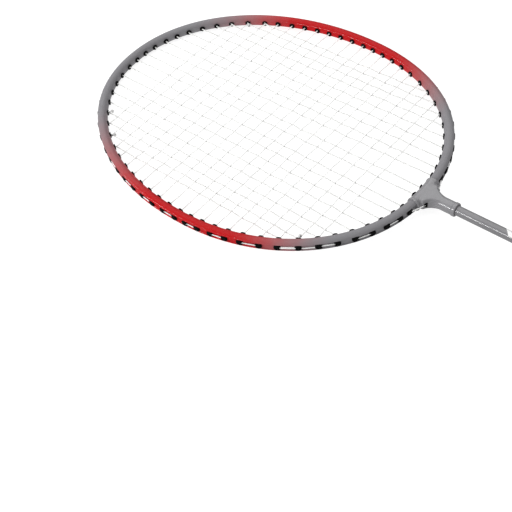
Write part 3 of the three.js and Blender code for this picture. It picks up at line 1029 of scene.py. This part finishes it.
def wrap_relief(angle, y):
    """Height of the wound tape's surface: a raised overlap edge along the helix, and rows of small holes."""
    turn = angle / (2 * math.pi)
    climb = (y - WRAP_PITCH * turn) % WRAP_PITCH
    fade = smoothstep(WRAP_OVERLAP, WRAP_OVERLAP + OVERLAP_FADE, climb)
    rise = WRAP_STEP * smoothstep(0.0, OVERLAP_EDGE, climb) * (1 - fade)
    crown = TAPE_CROWN * math.sin(math.pi * climb / WRAP_PITCH)
    along = turn * HOLES_AROUND
    row = climb / HOLE_PITCH
    row_index = math.floor(row)
    shifted = along + 0.5 * (row_index % 2)
    du = (shifted - math.floor(shifted) - 0.5) * HOLE_PITCH
    dv = (row - row_index - 0.5) * HOLE_PITCH
    distance = math.hypot(du, dv)
    dimple = PERFORATION_DEPTH * (1 - smoothstep(PERFORATION_R * 0.5, PERFORATION_R * 1.25, distance))
    return rise + crown - dimple


def build_grip():
    low, high = (corner[1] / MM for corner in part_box("grip_wrap"))
    shank_r, butt_r, flare_end, inset = 13.9, 15.95, 34.0, 0.85
    core_r, core_flare = 12.25, 1.2
    roll, roll_length = 0.4, 0.8
    around, rows = 200, 360
    verts = []
    for i in range(rows + 1):
        y = low + (high - low) * i / rows
        flare = 1 - smoothstep(low, flare_end, y)
        corner_r = shank_r + (butt_r - shank_r) * flare - inset
        end_roll = roll * (1 - smoothstep(0, roll_length, min(y - low, high - y)))
        for j in range(around):
            angle = 2 * math.pi * j / around
            radius = octagon_radius(angle, corner_r, FOAM_SOFTNESS) + wrap_relief(angle, y) - end_roll
            verts.append(octagon_point(angle, radius, y) * MM)
    inside = [(high, core_r), (flare_end, core_r), (low, core_r + core_flare)]
    for y, radius in inside:
        for j in range(around):
            angle = 2 * math.pi * j / around
            verts.append(octagon_point(angle, octagon_radius(angle, radius, BORE_SOFTNESS), y) * MM)
    levels = rows + 1 + len(inside)
    faces = [tuple(reversed(face)) for face in grid_faces(levels, around)]
    last = (levels - 1) * around
    faces += [(j, (j + 1) % around, last + (j + 1) % around, last + j) for j in range(around)]
    piece("grip_wound", verts, faces, FOAM, ["grip_wrap"])


def build_tape():
    low, high = (corner[1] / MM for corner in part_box("grip_finishing_tape"))
    inner, outer, edge, waist = 13.4, 14.5, 0.25, 0.1
    levels = [(inner, low), (outer - edge, low), (outer, low + edge), (outer - waist, (low + high) / 2),
              (outer, high - edge), (outer - edge, high), (inner, high)]
    verts, faces = octagon_loft(levels, 160, closed=True)
    piece("finishing_band", verts, faces, VINYL, ["grip_finishing_tape"])


def build_cone():
    low, high = (corner[1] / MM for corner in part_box("handle_cone"))
    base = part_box("grip_wrap")[1][1] / MM + 0.3
    bore, spigot, neck, neck_length = 3.3, 7.5, 9.7, 6
    base_r, taper = 11.8, 7.1
    base_edge, tip_edge, end_margin = 0.5, 0.8, 1.0
    groove_at, groove_depth, groove_half = [base + 2.4, base + 4.4, base + 6.4], 0.35, 0.32
    neck_low = base - neck_length
    outline = [(bore, low), (spigot, low), (spigot, neck_low), (neck, neck_low), (neck, base)]
    outline += fillet(base_edge, (base_r - base_edge, base + base_edge), -90, 0, 4)
    steps = 90
    for i in range(steps + 1):
        share = i / steps
        y = base + end_margin + (high - base - 2 * end_margin) * share
        body = base_r - taper * smoothstep(0.02, 1.05, share) ** 0.9
        groove = sum(groove_depth * math.exp(-((y - at) / groove_half) ** 2) for at in groove_at)
        outline.append((body - groove, y))
    tip = outline[-1][0]
    outline += fillet(tip_edge, (tip - tip_edge, high - tip_edge), 10, 90, 4)
    outline.append((bore, high))
    verts, faces = lathe(outline, 96, lambda v: v * MM)
    cone = piece("cone_moulded", verts, faces, PLASTIC, ["handle_cone"])
    cone.data.set_sharp_from_angle(angle=math.radians(50))


def build_butt():
    """A shallow cup with one raised ring inside a recess on its end."""
    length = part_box("butt_cap")[1][1] / MM
    floor, inner, outer, edge = 3.2, 14.2, 16.0, 1.3
    middle, recess, lip = 0.6, 0.45, 0.4
    levels = [(middle, recess), (3.2, recess), (3.5, 0.0), (5.2, 0.0), (5.5, recess), (8.6, recess),
              (8.9, 0.0)]
    levels += [(outer - edge + edge * math.sin(a), edge - edge * math.cos(a))
               for a in (math.radians(d) for d in (0, 20, 40, 60, 80, 90))]
    levels += [(outer, length - lip), (outer - 0.3, length), (inner, length), (inner, floor), (middle, floor)]
    verts, faces = octagon_loft(levels, 160, closed=False)
    butt = piece("butt_moulded", verts, faces, PLASTIC, ["butt_cap"])
    butt.data.set_sharp_from_angle(angle=math.radians(40))


def finish_core():
    """The wooden core keeps its CAD shape and gets its wood."""
    for core_slot in frame["nodes"]["handle_core"].material_slots:
        core_slot.material = WOOD


# ---------------------------------------------------------------- floor, light and camera
def build_stage():
    """A pale floor that touches the racket where it would rest: the butt's lower edge and the hoop's tip."""
    butt = Vector((0, 0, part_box("butt_cap")[0][2]))
    tip = Vector((0, tube_high[1], tube_low[2]))
    along = (tip - butt).normalized()
    across = Vector((1, 0, 0))
    size, gap = 6.0, 0.0002
    centre = (butt + tip) / 2 - UP * gap
    corners = [centre + across * a * size + along * b * size for a, b in ((-1, -1), (1, -1), (1, 1), (-1, 1))]
    mesh = bpy.data.meshes.new("floor")
    mesh.from_pydata([tuple(c) for c in corners], [], [(0, 1, 2, 3)])
    mesh.materials.append(floor_paper())
    floor = bpy.data.objects.new("floor", mesh)
    bpy.context.scene.collection.objects.link(floor)
    floor.visible_glossy = False  # the paint mirrors the room above it, not the paper


def area_light(name, place, target, size, watts, size_y=None):
    data = bpy.data.lights.new(name, "AREA")
    data.shape = "RECTANGLE"
    data.size = size
    data.size_y = size_y or size
    data.energy = watts
    light = bpy.data.objects.new(name, data)
    light.location = place
    light.rotation_euler = (target - place).to_track_quat("-Z", "Y").to_euler()
    bpy.context.scene.collection.objects.link(light)


def build_light():
    scene = bpy.context.scene
    scene.view_settings.view_transform = "Standard"
    background = bpy.data.worlds.new("studio")
    background.use_nodes = True
    background.node_tree.nodes["Background"].inputs["Color"].default_value = (1, 1, 1, 1)
    background.node_tree.nodes["Background"].inputs["Strength"].default_value = 0.33
    scene.world = background
    head = Vector((0, (HEAD_Y - 60) * MM, 0))
    area_light("overhead_softbox", head + Vector((0.55, 0.35, 1.35)), head, 2.2, 20)
    area_light("side_strip", head + Vector((-0.738, 0.481, 0.471)) * 1.5, head, 1.6, 18, 0.12)


def build_camera():
    aim = Vector((-95.7, -65.6 + HEAD_Y, 0)) * MM
    distance, elevation, azimuth, roll = 0.5532, 49.74, 228.35, 10.33
    level = math.cos(math.radians(elevation))
    back = Vector((math.cos(math.radians(azimuth)) * level, math.sin(math.radians(azimuth)) * level,
                   math.sin(math.radians(elevation))))
    right = UP.cross(back).normalized()
    up = back.cross(right)
    turn = Matrix.Rotation(math.radians(-roll), 3, back)
    axes = Matrix((turn @ right, turn @ up, back)).transposed()
    data = bpy.data.cameras.new("camera")
    data.sensor_width = 36
    data.lens = 66.2386
    data.clip_start = 0.01
    camera = bpy.data.objects.new("camera", data)
    camera.matrix_world = Matrix.Translation(aim + back * distance) @ axes.to_4x4()
    bpy.context.scene.collection.objects.link(camera)
    bpy.context.scene.camera = camera


build_camera()
build_hoop()
build_joint()
build_collar()
build_grommets()
build_strings()
build_shaft()
build_grip()
build_tape()
build_cone()
build_butt()
finish_core()
build_stage()
build_light()
